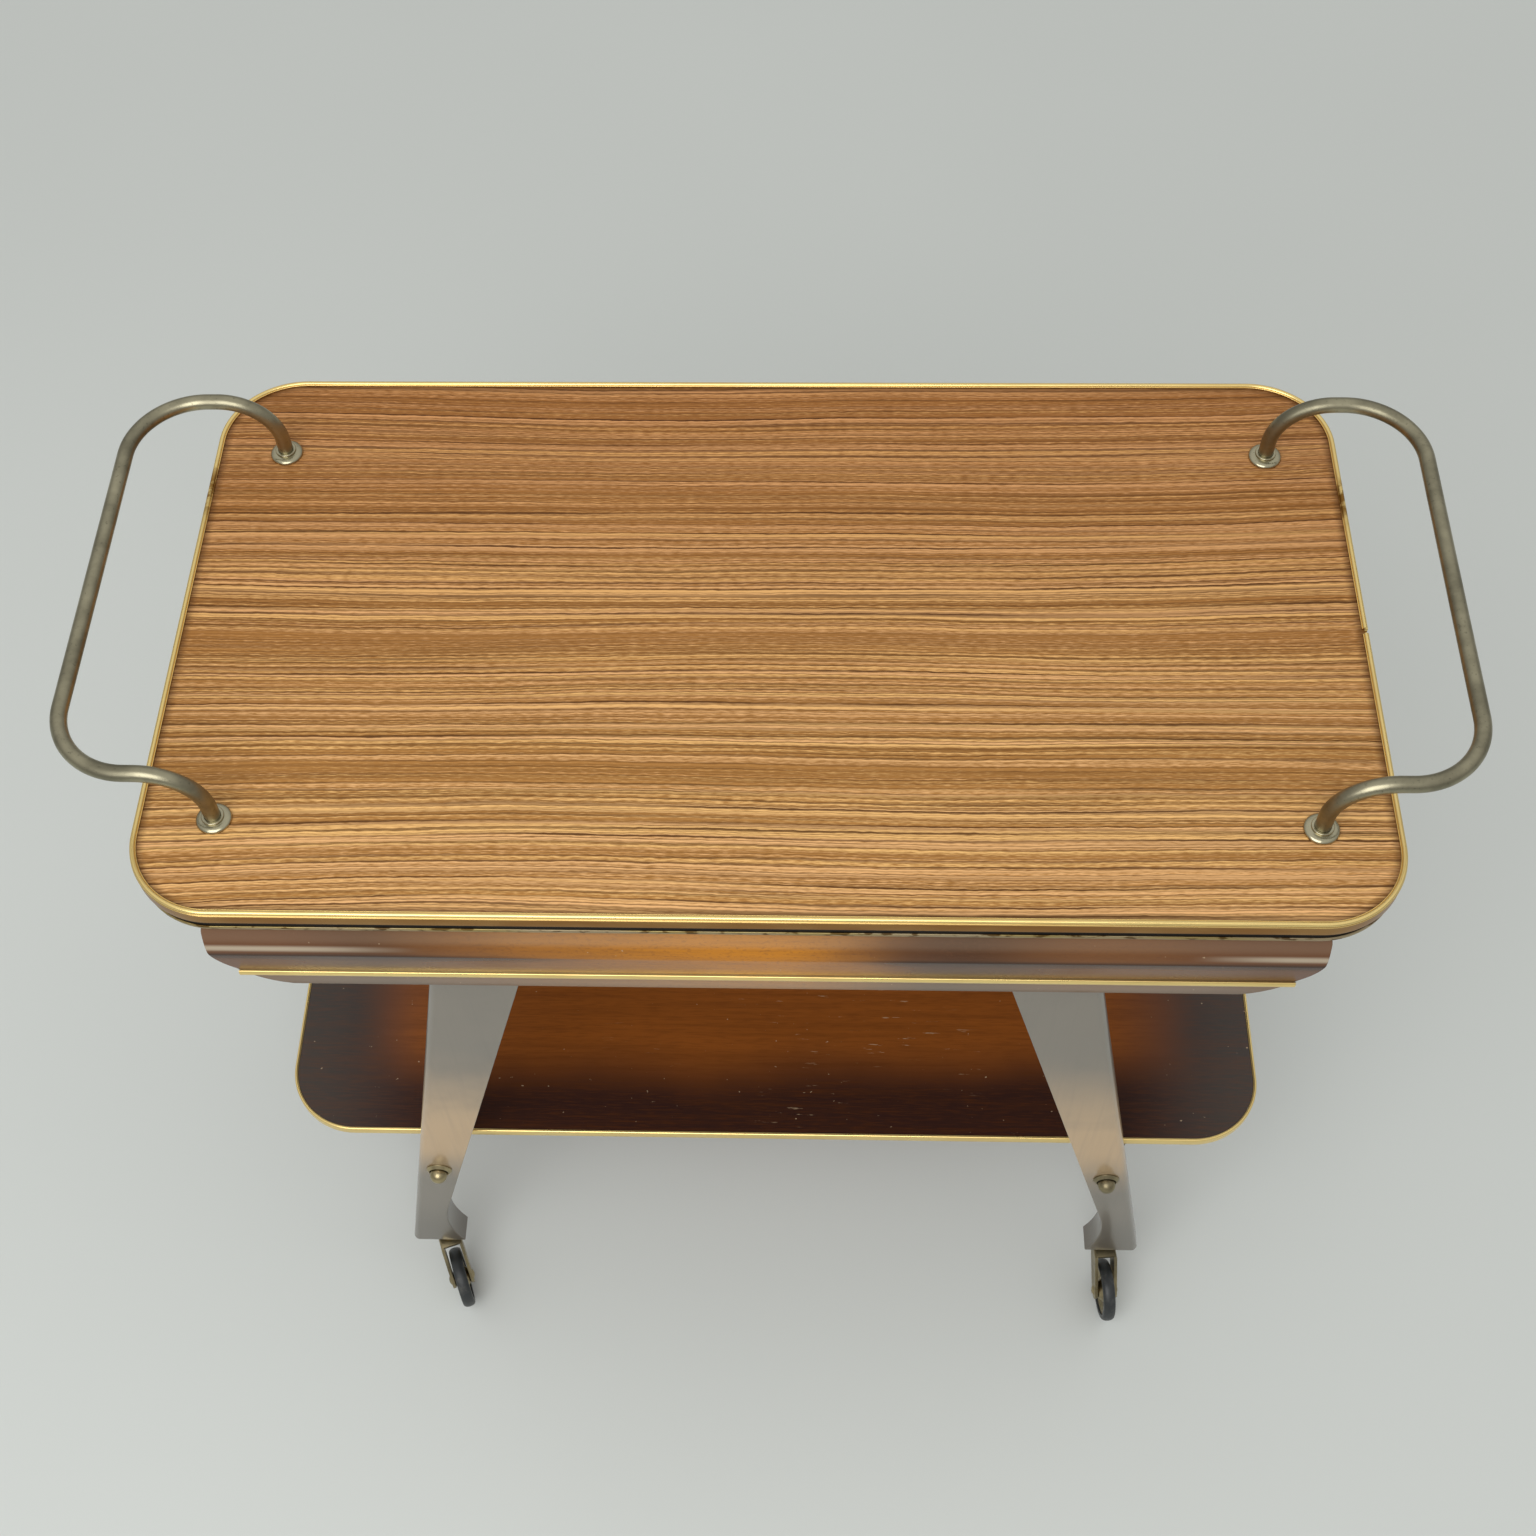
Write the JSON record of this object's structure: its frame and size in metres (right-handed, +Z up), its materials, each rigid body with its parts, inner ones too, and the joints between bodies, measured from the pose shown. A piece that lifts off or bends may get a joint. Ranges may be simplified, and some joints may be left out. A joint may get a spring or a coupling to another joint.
{
  "type": "bar cart",
  "caption": "Serving trolley with a laminated top, bent push handles, splayed board legs, a lower shelf and swivel casters.",
  "frame": {"origin": "on the floor, under the middle of the cart", "axes": "+X along the length to the viewer's right, +Y from the front to the back, +Z up"},
  "size_m": [0.838, 0.4816, 0.695],
  "materials": {
    "laminate": "satin laminate with a fine wood-grain print",
    "board": "dark stained, matte",
    "gold_trim": "gold anodised, polished",
    "handle_brass": "aged, dull brass plating",
    "brass": "aged brass plating",
    "leg_lacquer": "brown lacquer, glossy",
    "apron_lacquer": "shaded brown lacquer, glossy",
    "shelf_lacquer": "shaded dark brown lacquer, glossy",
    "steel": "plain",
    "rubber": "black rubber, worn matte"
  },
  "bodies": {
    "frame": {"top_board": "board", "top_laminate": "laminate", "top_edge_trim": "gold_trim", "top_lower_strip": "gold_trim", "lower_shelf": "shelf_lacquer", "lower_shelf_trim": "gold_trim", "handle_washers": "steel", "handle_nuts": "steel", "leg_screws": "steel", "apron_screws": "steel", "top_bearer_screws": "steel", "shelf_bearer_screws": "steel", "leg_bolt_washers": "brass", "leg_bolts": "brass", "left_handle": "handle_brass", "left_top_bearer": "board", "left_shelf_bearer": "board", "right_handle": "handle_brass", "right_top_bearer": "board", "right_shelf_bearer": "board", "front_apron": "apron_lacquer", "front_apron_strip": "gold_trim", "rear_apron": "apron_lacquer", "rear_apron_strip": "gold_trim", "front_left_leg": "leg_lacquer", "front_left_handle_rosette": "brass", "front_left_caster_socket": "steel", "front_right_leg": "leg_lacquer", "front_right_handle_rosette": "brass", "front_right_caster_socket": "steel", "rear_left_leg": "leg_lacquer", "rear_left_handle_rosette": "brass", "rear_left_caster_socket": "steel", "rear_right_leg": "leg_lacquer", "rear_right_handle_rosette": "brass", "rear_right_caster_socket": "steel"},
    "front_left_swivel": {"front_left_caster_fork": "brass", "front_left_caster_grip_ring": "steel", "front_left_caster_axle": "brass"},
    "front_left_wheel": {"front_left_caster_hub": "brass", "front_left_caster_tyre": "rubber"},
    "front_right_swivel": {"front_right_caster_fork": "brass", "front_right_caster_grip_ring": "steel", "front_right_caster_axle": "brass"},
    "front_right_wheel": {"front_right_caster_hub": "brass", "front_right_caster_tyre": "rubber"},
    "rear_left_swivel": {"rear_left_caster_fork": "brass", "rear_left_caster_grip_ring": "steel", "rear_left_caster_axle": "brass"},
    "rear_left_wheel": {"rear_left_caster_hub": "brass", "rear_left_caster_tyre": "rubber"},
    "rear_right_swivel": {"rear_right_caster_fork": "brass", "rear_right_caster_grip_ring": "steel", "rear_right_caster_axle": "brass"},
    "rear_right_wheel": {"rear_right_caster_hub": "brass", "rear_right_caster_tyre": "rubber"}
  },
  "joints": [
    {"name": "front_left_swivel_turn", "type": "hinge", "parent": "frame", "child": "front_left_swivel", "pos_m": [-0.27, -0.186, 0.0615], "axis": [0, 0, 1], "continuous": true},
    {"name": "front_left_wheel_spin", "type": "hinge", "parent": "front_left_swivel", "child": "front_left_wheel", "pos_m": [-0.25974, -0.21419, 0.025], "axis": [0.9397, 0.342, 0], "continuous": true},
    {"name": "front_right_swivel_turn", "type": "hinge", "parent": "frame", "child": "front_right_swivel", "pos_m": [0.27, -0.186, 0.0615], "axis": [0, 0, 1], "continuous": true},
    {"name": "front_right_wheel_spin", "type": "hinge", "parent": "front_right_swivel", "child": "front_right_wheel", "pos_m": [0.27261, -0.21589, 0.025], "axis": [0.9962, 0.0872, 0], "continuous": true},
    {"name": "rear_left_swivel_turn", "type": "hinge", "parent": "frame", "child": "rear_left_swivel", "pos_m": [-0.27, 0.186, 0.0615], "axis": [0, 0, 1], "continuous": true},
    {"name": "rear_left_wheel_spin", "type": "hinge", "parent": "rear_left_swivel", "child": "rear_left_wheel", "pos_m": [-0.27261, 0.21589, 0.025], "axis": [-0.9962, -0.0872, 0], "continuous": true},
    {"name": "rear_right_swivel_turn", "type": "hinge", "parent": "frame", "child": "rear_right_swivel", "pos_m": [0.27, 0.186, 0.0615], "axis": [0, 0, 1], "continuous": true},
    {"name": "rear_right_wheel_spin", "type": "hinge", "parent": "rear_right_swivel", "child": "rear_right_wheel", "pos_m": [0.25974, 0.21419, 0.025], "axis": [-0.9397, -0.342, 0], "continuous": true}
  ]
}
